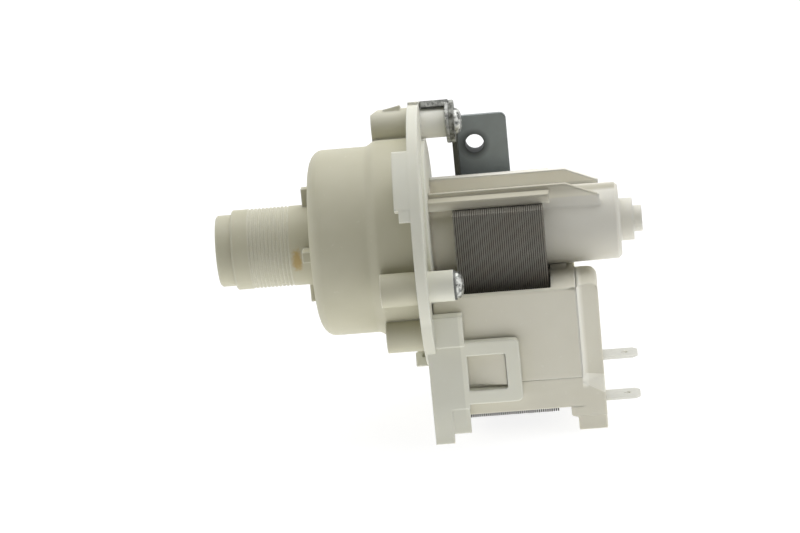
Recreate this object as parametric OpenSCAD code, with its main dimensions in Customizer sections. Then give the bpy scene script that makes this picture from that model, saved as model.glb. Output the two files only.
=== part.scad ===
// Washer drain pump with a synchronous motor, in millimetres.
// The origin is the centre of the inlet mouth. +X runs along the shaft to the motor's rear end,
// -Y is the side with the spade terminals in front, and +Z points from the coil to the bracket.

/* [Inlet spigot] */
// Outer diameter of the hose spigot
inlet_d = 24.6; // [23.4:0.2:28]
// Bore of the spigot
inlet_bore = 18; // [14:0.5:19]
// Length from the mouth to the face of the volute
inlet_len = 29.8; // [24:0.2:40]
// Diameter of the reduced nose at the mouth
nose_d = 22; // [20:0.5:23]
// Length of the nose
nose_len = 5; // [3:0.5:7]
// Number of fine grip grooves
groove_count = 11; // [4:1:12]
// Distance from groove to groove
groove_pitch = 1.17; // [0.9:0.01:1.3]
// Depth of a groove
groove_depth = 0.3; // [0.15:0.05:0.6]
// Distance from the mouth to the first groove
groove_start = 10.1; // [8:0.1:11]
// Number of gussets round the foot of the spigot
gusset_count = 4; // [2:1:6]
// Radial length of a gusset
gusset_reach = 5.5; // [3:0.5:7]
// Width of a gusset
gusset_w = 3.3; // [2:0.1:5]
// Height of a gusset above the face
gusset_h = 2.8; // [1:0.1:4]
// Angle of the first gusset, from +Z towards -Y
gusset_turn = -4; // [-30:1:30]

/* [Volute] */
// Outer diameter of the chamber
volute_d = 57.2; // [52:0.2:58]
// Length from the face to the joint with the motor frame
volute_len = 32; // [30:0.2:42]
// Wall of the volute
volute_wall = 2.2; // [1.6:0.1:2.6]
// Rounding of the front edge along the axis
edge_round_x = 4.4; // [2:0.2:6]
// Rounding of the front edge across the axis
edge_round_r = 6.5; // [3:0.5:8]
// Outer diameter of the flange
flange_d = 60.4; // [60:0.2:62]
// Length of the flange, from the middle of its soft step
flange_len = 12.6; // [8:0.2:14]
// Length of the soft step in front of the flange
step_len = 3.8; // [1:0.2:5]
// Width of the seal that lies in the flange
seal_w = 1.5; // [1:0.1:1.6]
// Thickness of the seal
seal_t = 1.6; // [1:0.1:2.5]

/* [Outlet spigot] */
// Outer diameter of the outlet
outlet_d = 22; // [18:0.5:24]
// Bore of the outlet
outlet_bore = 17; // [12:0.5:18]
// Distance of the outlet below the shaft
outlet_drop = 15; // [10:0.5:16]
// Distance from the shaft to the end of the outlet
outlet_reach = 57; // [45:1:75]
// Distance from the volute's face to the middle of the outlet
outlet_setback = 14.6; // [12:0.2:18]
// Height of the bead that keeps the hose on
bead_h = 0.9; // [0.4:0.1:1.5]

/* [Screws] */
// Diameter of the circle that the screws lie on
screw_circle_d = 68.6; // [68:0.2:70]
// Angles of the screws, from +Z towards -Y
top_screw_turn = -20; // [-25:1:-15]
// Angle of the two side screws to either side of +Z
side_screw_turn = 100; // [95:1:105]
// Shank diameter of a screw
screw_d = 4; // [3:0.1:4.2]
// Diameter of a screw head
head_d = 8; // [7:0.1:8.6]
// Height of a screw head
head_h = 2; // [1.8:0.1:3.2]
// Depth that a screw reaches into the volute
screw_bite = 9; // [6:0.5:10]
// Diameter of a screw boss on the volute
boss_d = 10; // [9.4:0.1:10.8]
// Drop of the slope on the upper screw boss's front end
boss_drop = 1.9; // [0.5:0.1:2.5]
// Length of the slope on the upper screw boss's front end
boss_slope = 2.5; // [1:0.1:3]
// Length of the upper screw boss on the volute
boss_len = 11.9; // [11:0.1:12.6]
// Diameter of a flat washer
washer_d = 8.8; // [8.4:0.1:9.2]
// Thickness of a flat washer
washer_t = 0.7; // [0.5:0.1:1.2]

/* [Motor frame] */
// Diameter of the back plate
plate_d = 80.6; // [79.6:0.2:82]
// Thickness of the back plate
plate_t = 3.3; // [2.8:0.1:4.5]
// Diameter of the collar behind the plate
collar_d = 58; // [50:0.5:58.5]
// Thickness of the collar
collar_t = 1.1; // [0.8:0.1:2.3]
// Diameter of a screw standoff
standoff_d = 9.3; // [8.8:0.1:9.6]
// Length of a screw standoff
standoff_len = 7.7; // [7:0.1:9]
// Angle of the first claw, from +Z towards -Y
claw_turn = 48; // [46:1:56]
// Angle that one claw spans
claw_span = 28; // [16:1:34]
// Reach of the near claw in front of the plate
claw_reach = 4.6; // [3:0.1:7]
// Reach of the other claws
short_claw_reach = 3.5; // [2.5:0.1:5]
// Radial thickness of a claw
claw_t = 2.6; // [1.6:0.1:3.2]
// Thickness of the side walls, feet and snap loops
side_t = 2.5; // [2:0.1:3]
// Height of the shaft above the surface that the feet rest on
axis_height = 58.4; // [58:0.2:64]
// Length of the outer foot
foot_len = 5.8; // [4:0.1:7]
// Width of the bars of a snap loop
loop_bar = 4.3; // [3:0.1:4.6]

/* [Stator core] */
// Thickness of one steel sheet
sheet_t = 0.65; // [0.5:0.01:0.7]
// Number of sheets
sheet_count = 42; // [36:1:44]
// Width of one leg
leg_w = 11.5; // [10.5:0.1:12]
// Height of the core above the shaft
core_rise = 11.2; // [10.6:0.1:11.4]
// Height of the core below the shaft
core_drop = 53.5; // [52.5:0.1:55]
// Height of the yoke that joins the legs
yoke_h = 11.5; // [10:0.1:12]
// Diameter of a stack rivet
rivet_d = 3; // [2:0.1:3.4]

/* [Rotor can] */
// Outer diameter of the can inside the core
can_d = 24; // [23.6:0.1:24.2]
// Outer diameter at the can's rear edge
can_end_d = 23.4; // [22.4:0.1:23.8]
// Wall of the can
can_wall = 1.3; // [1:0.1:1.5]
// Length of the can behind the back plate
can_len = 58.5; // [56:0.5:66]
// Diameter of the bearing boss on the can's end
end_boss_d = 13; // [12.4:0.2:15]
// Length of the bearing boss
end_boss_len = 4.1; // [2:0.1:6]
// Diameter of the tip on the bearing boss
end_tip_d = 8; // [5:0.2:10]
// Length of the tip
end_tip_len = 2.7; // [1:0.1:4]
// Distance between the middles of the two top ribs
rib_gap = 16.2; // [15:0.1:16.6]
// Thickness of a rib
rib_t = 1.8; // [1.4:0.1:2]
// Height of the ribs above the shaft
rib_top = 15.3; // [14.8:0.1:17]
// Width across the two ledges
ledge_w = 28.8; // [24:0.2:30]
// Thickness of a ledge
ledge_t = 2.7; // [2:0.1:2.9]

/* [Rotor and impeller] */
// Diameter of the shaft
shaft_d = 4; // [3:0.1:4.4]
// Outer diameter of a bearing bush
bush_d = 8; // [7.4:0.1:8.2]
// Length of the rear bush
rear_bush_len = 7; // [5:0.5:8]
// Diameter of the rotor hub inside the magnet
hub_d = 10; // [8:0.2:12]
// Diameter of the impeller
impeller_d = 44; // [36:0.5:48]
// Length of the impeller's hub
impeller_len = 16; // [14:0.5:18]
// Diameter of the impeller's hub
impeller_hub_d = 15.6; // [15:0.2:18]
// Number of vanes
vane_count = 6; // [3:1:8]
// Thickness of a vane
vane_t = 2; // [1.4:0.1:2.6]
// Angle that a driving lug spans
lug_span = 40; // [20:1:50]
// Depth of the driving pocket in the hub
pocket_depth = 4.6; // [4:0.1:5]

/* [Coil box] */
// Width of the coil box
box_w = 50; // [49.6:0.1:50.4]
// Wall of the coil box
box_wall = 1.5; // [1.2:0.1:1.6]
// Room for the coil in front of and behind the core
coil_room = 7.9; // [7.6:0.1:8.2]
// Room in front of the core
coil_front_room = 5.2; // [5:0.1:5.3]
// Room at either side of the core
coil_side_room = 5.5; // [5.3:0.1:6]
// Height of the box's parting line below the shaft
parting_drop = 41.1; // [40:0.1:41.4]
// Height of the box's bottom below the shaft
box_drop = 50.6; // [49.6:0.1:51.4]
// Wall of a bobbin
bobbin_t = 0.8; // [0.6:0.05:1]
// Thickness of a winding
winding_t = 2.2; // [1.2:0.1:2.25]
// Length of the terminal block
block_len = 6.6; // [6:0.1:9]
// Width of the tower that holds the terminals
tower_w = 20.8; // [19:0.1:24]
// Set-back of the tower's near face at its rear end
tower_taper = 4.5; // [3:0.1:6]
// Set-back of the tower's near face where it leaves the box
tower_step = 2; // [1:0.1:2.6]
// Width of a spade terminal
blade_w = 7.7; // [4.8:0.1:8]
// Thickness of a spade terminal
blade_t = 0.8; // [0.5:0.1:1.2]
// Free length of a spade terminal
blade_len = 10.6; // [8:0.1:14]
// Hole in a spade terminal
blade_hole_d = 1.8; // [1.2:0.1:2.4]
// Distance of the terminals from the near side of the coil box
blade_inset = 11; // [9:0.5:13]
// Depth of the lower terminal below the box's bottom
blade_below = 1; // [0.8:0.1:1.8]
// Distance from terminal to terminal
blade_pitch = 13.2; // [11:0.1:14]

/* [Bracket] */
// Thickness of the bracket's steel
bracket_t = 1.5; // [1:0.1:2]
// Thickness of the clip's steel
clip_t = 1.2; // [0.8:0.1:1.4]
// Diameter of the pads round the top screw
pad_d = 13.2; // [12:0.1:14]
// Gap between the core's far side and the bracket's upright
upright_gap = 1.5; // [1:0.1:3]
// Height of the upright's top edge above the shaft
upright_top = 31.2; // [29:0.1:36]
// Length of the upright
upright_len = 17; // [14:0.1:22]
// Diameter of the fixing hole
fixing_d = 5.8; // [5:0.1:7]
// Wall of the drawn collar round the fixing hole
fixing_wall = 1.1; // [0.8:0.1:1.4]
// Length of the drawn collar
fixing_collar = 4.2; // [1:0.1:5]

/* [Hidden] */
$fn = 96;

// Clearances: eps oversizes cuts, bond is a glued or pressed seat, slip a loose seat, run a moving gap
eps = 0.1;
bond = 0.02;
slip = 0.2;
run = 0.35;
bearing_gap = 0.04;

// Stations along the shaft, from the inlet mouth backwards
x_face = inlet_len;
x_joint = x_face + volute_len;
x_flange = x_joint - flange_len;
x_chamber = x_face + volute_wall;
x_plate = x_joint + plate_t;
x_collar = x_plate + collar_t;
x_stand = x_plate + standoff_len;
core_lead = 0.6;
x_core = x_stand + core_lead;
core_len = sheet_t * sheet_count;
x_core_end = x_core + core_len;
x_box = x_core - coil_front_room;
x_box_end = x_core_end + coil_room;
x_block_end = x_box_end + block_len;
x_can_end = x_plate + can_len;

// Radii and widths
chamber_r = volute_d / 2 - volute_wall;
screw_r = screw_circle_d / 2;
screw_turns = [top_screw_turn, side_screw_turn, -side_screw_turn];
can_r = can_d / 2;
can_bore_r = can_end_d / 2 - can_wall;
core_bore_r = can_r + run;
box_half = box_w / 2;
side_in = box_half + 2 * slip;
side_out = side_in + side_t;
shaft_r = shaft_d / 2;
leg_out = box_half - coil_side_room;
leg_in = leg_out - leg_w;

// Heights: the can's underside sets the box's top
box_top = -(can_r + 0.5);
yoke_top = yoke_h - core_drop;
floor_z = -axis_height;

// Places of the bearings
seal_pocket_r = bush_d / 2 + 1;
seal_depth = 3.4;
carrier_len = 6.4;
carrier_flange_t = 1.6;
carrier_flange_r = can_bore_r + 2.2;
can_flange_r = can_bore_r + 4.4;
x_carrier_end = x_plate + carrier_len;
washer_len = 0.8;
cushion_t = 1.1;
can_end_wall = 2;
x_can_floor = x_can_end - can_end_wall;
x_rear_bush = x_can_floor - rear_bush_len;
x_hub = x_carrier_end + run + washer_len;
x_hub_end = x_rear_bush - run - washer_len;
hub_lead = 1.3;
magnet_r = can_bore_r - 2 * run;
shaft_end = x_can_floor + 2;

// Places of the impeller and its drive
impeller_back_gap = 0.8;
x_impeller_end = x_joint - impeller_back_gap;
x_impeller = x_impeller_end - impeller_len;
pocket_r = impeller_hub_d / 2 - 1.5;
dog_r = pocket_r - run;
cap_len = 3.6;
x_cap = x_impeller - run - cap_len;
shaft_start = x_cap + 1;
lug_rest_gap = 2;

// Local +Z laid along the shaft, starting at station x
module along_x(x) {
    translate([x, 0, 0])
        rotate([0, 90, 0])
            children();
}

// Children turned about the shaft by an angle from +Z towards -Y, at radius r
module at_turn(turn, r = 0) {
    rotate([turn, 0, 0])
        translate([0, 0, r])
            children();
}

// Solid rod along the shaft
module rod(x0, x1, r) {
    along_x(x0)
        cylinder(r = r, h = x1 - x0);
}

// Tube along the shaft
module tube(x0, x1, r_out, r_in) {
    difference() {
        rod(x0, x1, r_out);
        rod(x0 - eps, x1 + eps, r_in);
    }
}

// Box between two corners
module block(x, y, z) {
    translate([x[0], y[0], z[0]])
        cube([x[1] - x[0], y[1] - y[0], z[1] - z[0]]);
}

// Children and their mirror image on the far side
module both_sides() {
    children();
    mirror([0, 1, 0])
        children();
}

// Wedge along the shaft between two turns, from the axis out to radius r
module sector(x0, x1, r, span) {
    reach = 2 * r;
    half = span / 2;
    translate([x0, 0, 0])
        rotate([90, 0, 90])
            linear_extrude(x1 - x0)
                intersection() {
                    circle(r = r);
                    polygon([[0, 0], [-reach * sin(half), reach * cos(half)], [reach * sin(half), reach * cos(half)]]);
                }
}

// Outline of the volute's outside, as radius and station
function groove_points() = [
    for (i = [0 : groove_count - 1])
        let (x = groove_start + i * groove_pitch, floor_r = inlet_d / 2 - groove_depth)
            each [[inlet_d / 2, x], [floor_r, x + 0.25 * groove_pitch],
                  [floor_r, x + 0.45 * groove_pitch], [inlet_d / 2, x + 0.7 * groove_pitch]]
];
function edge_points() = [
    for (a = [0 : 15 : 90])
        [volute_d / 2 - edge_round_r * (1 - sin(a)), x_face + edge_round_x * (1 - cos(a))]
];
function step_points() = [
    for (a = [0 : 20 : 180])
        [(volute_d + (flange_d - volute_d) * (1 - cos(a)) / 2) / 2, x_flange + step_len * (a / 180 - 0.5)]
];
nose_chamfer = 0.5;
spigot_chamfer = 0.3;

module volute_body() {
    along_x(0)
        rotate_extrude()
            polygon(concat(
                [[0, 0], [nose_d / 2 - nose_chamfer, 0], [nose_d / 2, nose_chamfer],
                 [nose_d / 2, nose_len], [inlet_d / 2 - spigot_chamfer, nose_len],
                 [inlet_d / 2, nose_len + spigot_chamfer]],
                groove_points(),
                [[inlet_d / 2, x_face]],
                edge_points(),
                step_points(),
                [[flange_d / 2, x_joint], [0, x_joint]]));
}

// Inner front edge of the chamber, rounded so that the wall stays even
inner_round_x = 0.6 * edge_round_x;
inner_round_r = 0.7 * edge_round_r;
function inner_edge_points() = [
    for (a = [0 : 15 : 90])
        [chamber_r - inner_round_r * (1 - sin(a)), x_chamber + inner_round_x * (1 - cos(a))]
];

module volute_hollow() {
    rod(-eps, x_chamber + eps, inlet_bore / 2);
    along_x(0)
        rotate_extrude()
            polygon(concat([[0, x_chamber]], inner_edge_points(),
                           [[chamber_r, x_joint + eps], [0, x_joint + eps]]));
}

outlet_x = x_face + outlet_setback;
// The bore starts where its upper edge clears the impeller
outlet_start = sqrt(pow(impeller_d / 2 + run, 2) - pow(outlet_drop - outlet_bore / 2, 2));
bead_len = 3;
bead_setback = 2;

// The outlet's centre line, pointing away from the shaft
module at_outlet(y) {
    translate([outlet_x, y, -outlet_drop])
        rotate([-90, 0, 0])
            children();
}

module outlet_tube() {
    root = sqrt(pow(volute_d / 2, 2) - pow(outlet_drop, 2)) / 2;
    at_outlet(root)
        rotate_extrude()
            polygon([[0, 0], [outlet_d / 2, 0],
                     [outlet_d / 2, outlet_reach - root - bead_setback - bead_len],
                     [outlet_d / 2 + bead_h, outlet_reach - root - bead_setback - bead_len / 3],
                     [outlet_d / 2 + bead_h, outlet_reach - root - bead_setback],
                     [outlet_d / 2 - bead_h, outlet_reach - root], [0, outlet_reach - root]]);
}

dowel_turn = 137;
dowel_d = 4.6;
dowel_len = 6;
dowel_boss_d = 9.8;
dowel_boss_len = boss_len - 0.7;
dowel_r = screw_r - 0.9;
dowel_turns = [dowel_turn, -dowel_turn];
web_w = 6;
pad_len = 5.3;
pad_h = 0.7;
pad_setback = 2.7;
side_boss_len = boss_len - 1;
boss_in = 4.7;
boss_top = screw_r - boss_in + boss_d;
screw_hole_r = screw_d / 2 + 0.05;
screw_hole_len = min(screw_bite + 1, side_boss_len - 0.8);
seal_mid_r = (chamber_r + flange_d / 2) / 2;

// Web that joins a boss at radius r to the flange
module boss_web(turn, r, len) {
    at_turn(turn)
        block([x_joint - len, x_joint], [-web_w / 2, web_w / 2], [chamber_r + volute_wall / 2, r]);
}

// Outline along X and Z, made w thick about the shaft
module across(w) {
    translate([0, w / 2, 0])
        rotate([90, 0, 0])
            linear_extrude(w)
                children();
}

module screw_boss(turn, len) {
    at_turn(turn, boss_top - boss_d / 2)
        rod(x_joint - len, x_joint, boss_d / 2);
    boss_web(turn, screw_r, len);
}

// Upper screw boss, whose outer side slopes down to its front end
module upper_boss() {
    x_nose = x_joint - boss_len;
    rise = boss_drop / boss_slope;
    difference() {
        screw_boss(top_screw_turn, boss_len);
        at_turn(top_screw_turn)
            across(boss_d)
                polygon([[x_nose - 1, boss_top - boss_drop - rise], [x_nose + boss_slope + 1, boss_top + rise],
                         [x_nose - 1, boss_top + rise]]);
    }
}

module dowel_boss(turn) {
    at_turn(turn, dowel_r)
        rod(x_joint - dowel_boss_len, x_joint, dowel_boss_d / 2);
    boss_web(turn, dowel_r, dowel_boss_len);
}

// Wedge on top of the upper screw boss
module boss_wedge() {
    x_high = x_joint - pad_setback;
    at_turn(top_screw_turn)
        across(web_w)
            polygon([[x_high - pad_len, screw_r], [x_high, screw_r], [x_high, boss_top + pad_h],
                     [x_high - pad_len, boss_top - pad_h / 2]]);
}

module volute_housing() {
    color("#dcd7bd")
        difference() {
            union() {
                volute_body();
                outlet_tube();
                for (i = [0 : gusset_count - 1])
                    at_turn(gusset_turn + i * 360 / gusset_count)
                        block([x_face - gusset_h, x_face + eps], [-gusset_w / 2, gusset_w / 2],
                              [inlet_bore / 2 + 1, inlet_d / 2 + gusset_reach]);
                for (turn = [side_screw_turn, -side_screw_turn])
                    screw_boss(turn, side_boss_len);
                upper_boss();
                boss_wedge();
                for (turn = dowel_turns)
                    dowel_boss(turn);
            }
            volute_hollow();
            at_outlet(outlet_start)
                cylinder(d = outlet_bore, h = outlet_reach - outlet_start + eps);
            for (turn = screw_turns)
                at_turn(turn, screw_r)
                    rod(x_joint - screw_hole_len, x_joint + eps, screw_hole_r);
            for (turn = dowel_turns)
                at_turn(turn, dowel_r)
                    rod(x_joint - dowel_len - slip, x_joint + eps, dowel_d / 2 + slip / 2);
            tube(x_joint - seal_t, x_joint + eps, seal_mid_r + seal_w / 2, seal_mid_r - seal_w / 2);
        }
}

module chamber_seal() {
    color("#2b2b2b")
        tube(x_joint - seal_t, x_joint, seal_mid_r + seal_w / 2 - bond, seal_mid_r - seal_w / 2 + bond);
}

// Motor frame
claw_count = 3;
claw_lip = 1.6;
claw_lip_t = 2;
claw_inset = 0.06;
claw_heel_span = 6;
claw_heel_setback = 1.2;
rim_pad_h = 0.8;
rim_pad_span = 22;
step_foot_len = 5.3;
step_foot_rise = 2.9;
foot_setback = 0.4;
x_side = x_joint + 0.8;
x_side_end = x_core + 0.5;
loop_top = -26.4;
loop_bottom = -46.2;
loop_len = 16.3;
x_loop_end = x_side_end + loop_len;
x_window = x_side_end + 0.3;
loop_round = 1.8;
side_bottom = loop_bottom - 1.4;
post_top = loop_top + 9;
post_bottom = loop_top - 0.6;
post_out = 1.7;

// Upright rectangle with two rounded rear corners, drawn along X and Z
module loop_outline(x0, x1, z0, z1, r) {
    polygon(concat(
        [[x0, z0]],
        [for (a = [0 : 15 : 90]) [x1 - r * (1 - sin(a)), z0 + r * (1 - cos(a))]],
        [for (a = [0 : 15 : 90]) [x1 - r * (1 - cos(a)), z1 - r * (1 - sin(a))]],
        [[x0, z1]]));
}

// Wall beside the coil box, with its two feet and the snap loop behind it
module frame_side() {
    translate([0, -side_in, 0])
        rotate([90, 0, 0])
            linear_extrude(side_t)
                difference() {
                    union() {
                        polygon([[x_side, loop_top], [x_side_end, loop_top],
                                 [x_side_end, side_bottom], [x_side, side_bottom]]);
                        loop_outline(x_side, x_loop_end, loop_bottom, loop_top, loop_round);
                    }
                    loop_outline(x_window, x_loop_end - loop_bar, loop_bottom + loop_bar,
                                 loop_top - loop_bar, loop_round / 3);
                }
    block([x_side, x_side + foot_len], [-side_out, -side_in], [floor_z, side_bottom + eps]);
    block([x_side, x_side + foot_len + step_foot_len], [foot_setback - side_out, -side_in],
          [floor_z + step_foot_rise, side_bottom + eps]);
    block([x_joint + plate_t / 2, x_side_end], [-side_out - post_out, -side_in], [post_bottom, post_top]);
}

// Part of a turned ring, centred on an angle from +Z towards -Y, from a section of radius and station
module arc_section(turn, span, points) {
    along_x(0)
        rotate([0, 0, turn - span / 2 - 180])
            rotate_extrude(angle = span)
                polygon(points);
}

// Hook on the plate's rim, with a shorter heel at its lower end
module claw(turn, reach) {
    r = plate_d / 2 - claw_inset;
    x_tip = x_joint - reach;
    x_heel = x_tip + claw_heel_setback;
    arc_section(turn, claw_span,
                [[r - claw_t, x_joint + plate_t / 2], [r, x_joint + plate_t / 2], [r, x_tip],
                 [r - claw_t - claw_lip, x_tip], [r - claw_t - claw_lip, x_tip + claw_lip_t],
                 [r - claw_t, x_tip + claw_lip_t]]);
    arc_section(turn + (claw_span + claw_heel_span) / 2 - 1, claw_heel_span,
                [[r - claw_t + claw_inset, x_joint + plate_t / 2], [r - claw_inset, x_joint + plate_t / 2],
                 [r - claw_inset, x_heel], [r - claw_t + claw_inset, x_heel]]);
}

// Raised stretch of the plate's rim in front of the clip
module rim_pad() {
    r = plate_d / 2;
    arc_section(top_screw_turn, rim_pad_span,
                [[r - rim_pad_h, x_joint], [r + rim_pad_h, x_joint], [r + rim_pad_h, x_plate],
                 [r - rim_pad_h, x_plate]]);
}

module motor_frame() {
    color("#e6e3d2")
        difference() {
            union() {
                rod(x_joint, x_plate, plate_d / 2);
                rod(x_joint, x_collar, collar_d / 2);
                for (turn = screw_turns)
                    at_turn(turn, screw_r)
                        rod(x_joint, x_stand, standoff_d / 2);
                rim_pad();
                claw(claw_turn, claw_reach);
                for (i = [1 : claw_count - 1])
                    claw(claw_turn + i * 360 / claw_count, short_claw_reach);
                for (turn = dowel_turns)
                    at_turn(turn, dowel_r)
                        rod(x_joint - dowel_len, x_joint + eps, dowel_d / 2);
                both_sides()
                    frame_side();
            }
            rod(x_joint - eps, x_collar + eps, can_bore_r);
            rod(x_joint - eps, x_joint + carrier_flange_t, carrier_flange_r);
            rod(x_plate, x_collar + eps, can_flange_r);
            for (turn = screw_turns)
                at_turn(turn, screw_r)
                    rod(x_joint - eps, x_stand + eps, screw_d / 2 + slip);
            both_sides()
                block([x_plate - eps, x_collar + eps], [-rib_gap / 2 - rib_t / 2 - slip, -rib_gap / 2 + rib_t / 2 + slip],
                      [0, rib_top + slip]);
            both_sides()
                block([x_plate, x_collar + eps], [-ledge_w / 2 - slip, -rib_gap / 2],
                      [core_rise, core_rise + ledge_t + 2 * slip]);
            both_sides()
                block([x_plate, x_collar + eps], [-side_in, nose_w - box_half + slip],
                      [post_bottom - slip, box_top + slip]);
        }
}

// Rotor can with its two ribs and ledges
ledge_end = x_core_end + 2.1;
rib_knee = x_core_end + 7.2;
rib_tip = x_core_end + 17.2;
rib_tip_drop = 4.2;
ledge_bottom = core_rise + slip;

module can_rib() {
    translate([0, -rib_gap / 2 + rib_t / 2, 0])
        rotate([90, 0, 0])
            linear_extrude(rib_t)
                polygon([[x_plate, can_bore_r - 2 * can_wall], [rib_tip, can_bore_r - 2 * can_wall],
                         [rib_tip, rib_top - rib_tip_drop], [rib_knee, rib_top], [x_plate, rib_top]]);
    block([x_plate, ledge_end], [-ledge_w / 2, -rib_gap / 2], [ledge_bottom, ledge_bottom + ledge_t]);
}

module rotor_can() {
    edge = 1;
    color("#dedccf")
        difference() {
            union() {
                along_x(x_plate)
                    rotate_extrude()
                        polygon([[0, 0], [can_flange_r - bond, 0], [can_flange_r - bond, collar_t], [can_r, collar_t],
                                 [can_r, x_core_end - x_plate], [can_end_d / 2, can_len - edge],
                                 [can_end_d / 2 - edge, can_len], [end_boss_d / 2, can_len],
                                 [end_boss_d / 2, can_len + end_boss_len], [end_tip_d / 2, can_len + end_boss_len],
                                 [end_tip_d / 2, can_len + end_boss_len + end_tip_len],
                                 [0, can_len + end_boss_len + end_tip_len]]);
                both_sides()
                    can_rib();
            }
            difference() {
                rod(x_plate - eps, x_can_floor, can_bore_r);
                tube(x_rear_bush, x_can_end, end_boss_d / 2, bush_d / 2 + cushion_t);
            }
            rod(x_can_floor - eps, shaft_end + run, bush_d / 2);
        }
}

module bearing_carrier() {
    color("#c9c6b8")
        difference() {
            union() {
                rod(x_joint, x_joint + carrier_flange_t, carrier_flange_r - bond);
                rod(x_joint, x_carrier_end, can_bore_r - bond);
            }
            rod(x_joint - eps, x_joint + seal_depth, seal_pocket_r);
            rod(x_joint, x_carrier_end + eps, bush_d / 2);
        }
}

module shaft_seal() {
    color("#262626")
        tube(x_joint + slip, x_joint + seal_depth, seal_pocket_r - bond, shaft_r + bearing_gap);
}

module front_bush() {
    color("#8a6a3f")
        tube(x_joint + seal_depth, x_carrier_end, bush_d / 2 - bond, shaft_r + bearing_gap);
}

module rear_bush() {
    color("#8a6a3f")
        tube(x_rear_bush, x_can_floor, bush_d / 2, shaft_r + bearing_gap);
}

module rear_cushion() {
    color("#303030")
        tube(x_rear_bush, x_can_floor, bush_d / 2 + cushion_t - bond, bush_d / 2 + bond);
}

// Rotor
module rotor_shaft() {
    color("#c8ccd0")
        rod(shaft_start, shaft_end, shaft_r);
}

module rotor_magnet() {
    color("#3c3b3a")
        tube(x_hub + hub_lead, x_hub_end - hub_lead, magnet_r, hub_d / 2 + bond);
}

module rotor_hub() {
    color("#e8e4d6")
        tube(x_hub, x_hub_end, hub_d / 2, shaft_r + bond);
}

module front_washer() {
    color("#b58b4a")
        tube(x_hub - washer_len, x_hub, hub_d / 2 - 0.6, shaft_r + bond);
}

module rear_washer() {
    color("#b58b4a")
        tube(x_hub_end, x_hub_end + washer_len, hub_d / 2 - 0.6, shaft_r + bond);
}

module drive_dog() {
    collar_r = shaft_r + 1.1;
    x_dog = x_impeller_end - pocket_depth + run;
    x_dog_end = x_impeller_end - slip;
    color("#4b4f55")
        difference() {
            union() {
                rod(x_dog, x_dog_end, collar_r);
                sector(x_dog, x_dog_end, dog_r, lug_span);
            }
            rod(x_dog - eps, x_dog_end + eps, shaft_r + bond);
        }
}

module impeller_cap() {
    cap_r = shaft_r + 2.4;
    color("#d9d5c8")
        difference() {
            along_x(x_cap)
                rotate_extrude()
                    polygon([[0, 0], [cap_r / 2, 0], [cap_r, cap_len / 2], [cap_r, cap_len], [0, cap_len]]);
            rod(shaft_start - bond, x_cap + cap_len + eps, shaft_r + bond);
        }
}

module impeller() {
    vane_len = impeller_len - 4;
    shroud_t = 1.4;
    x_vane = x_impeller + 1;
    x_pocket = x_impeller_end - pocket_depth;
    color("#f0eee6")
        difference() {
            union() {
                rod(x_impeller, x_impeller_end, impeller_hub_d / 2);
                rod(x_vane + vane_len - shroud_t, x_vane + vane_len, impeller_d * 0.36);
                for (i = [0 : vane_count - 1])
                    at_turn(i * 360 / vane_count)
                        block([x_vane, x_vane + vane_len], [-vane_t / 2, vane_t / 2], [pocket_r, impeller_d / 2]);
            }
            rod(x_impeller - eps, x_impeller_end, shaft_r + bearing_gap);
            difference() {
                rod(x_pocket, x_impeller_end + eps, pocket_r);
                at_turn(lug_span + lug_rest_gap)
                    difference() {
                        sector(x_pocket - eps, x_impeller_end, pocket_r + eps, lug_span);
                        rod(x_pocket - 2 * eps, x_impeller_end + eps, shaft_r + 1.1 + run);
                    }
            }
        }
}

// Stator
rib_slot_half = rib_gap / 2 + rib_t / 2 + 2 * slip;
rivet_head = 0.8;
rivet_head_r = rivet_d / 2 + 0.9;
rivet_y = leg_in + leg_w * 0.72;
rivet_z = yoke_h / 2 - core_drop;
rivet_places = [[rivet_y, rivet_z], [-rivet_y, rivet_z]];

// Section of one sheet across the shaft, drawn along Y and Z
module sheet_outline() {
    difference() {
        translate([-leg_out, -core_drop])
            square([2 * leg_out, core_drop + core_rise]);
        translate([-leg_in, yoke_top])
            square([2 * leg_in, -yoke_top]);
        circle(r = core_bore_r);
        translate([-rib_slot_half, 0])
            square([2 * rib_slot_half, core_rise + eps]);
    }
}

module stator_core() {
    color("#5a5750")
        difference() {
            translate([x_core, 0, 0])
                rotate([90, 0, 90])
                    linear_extrude(core_len)
                        sheet_outline();
            for (place = rivet_places)
                translate([0, place[0], place[1]])
                    rod(x_core - eps, x_core_end + eps, rivet_d / 2 + bond);
        }
}

module stack_rivets() {
    color("#8f9092")
        for (place = rivet_places)
            translate([0, place[0], place[1]]) {
                rod(x_core - rivet_head, x_core_end + rivet_head, rivet_d / 2);
                rod(x_core - rivet_head, x_core, rivet_head_r);
                rod(x_core_end, x_core_end + rivet_head, rivet_head_r);
            }
}

// Coil: rings round one leg, offset outwards from its sides
bobbin_bottom = yoke_top + slip;
bobbin_top = box_top - box_wall - slip;
flange_t = 1;

module leg_ring(z0, z1, inner, outer) {
    difference() {
        block([x_core - outer, x_core_end + outer], [-leg_out - outer, outer - leg_in], [z0, z1]);
        block([x_core - inner, x_core_end + inner], [-leg_out - inner, inner - leg_in], [z0 - eps, z1 + eps]);
    }
}

module bobbin() {
    flange_reach = slip + bobbin_t + slip + winding_t + slip;
    leg_ring(bobbin_bottom, bobbin_top, slip, slip + bobbin_t);
    leg_ring(bobbin_bottom, bobbin_bottom + flange_t, slip, flange_reach);
    leg_ring(bobbin_top - flange_t, bobbin_top, slip, flange_reach);
}

module winding() {
    inner = slip + bobbin_t + slip / 2;
    leg_ring(bobbin_bottom + flange_t + slip / 2, bobbin_top - flange_t - slip / 2, inner, inner + winding_t);
}

module near_bobbin() {
    color("#d8d2bf")
        bobbin();
}

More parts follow.
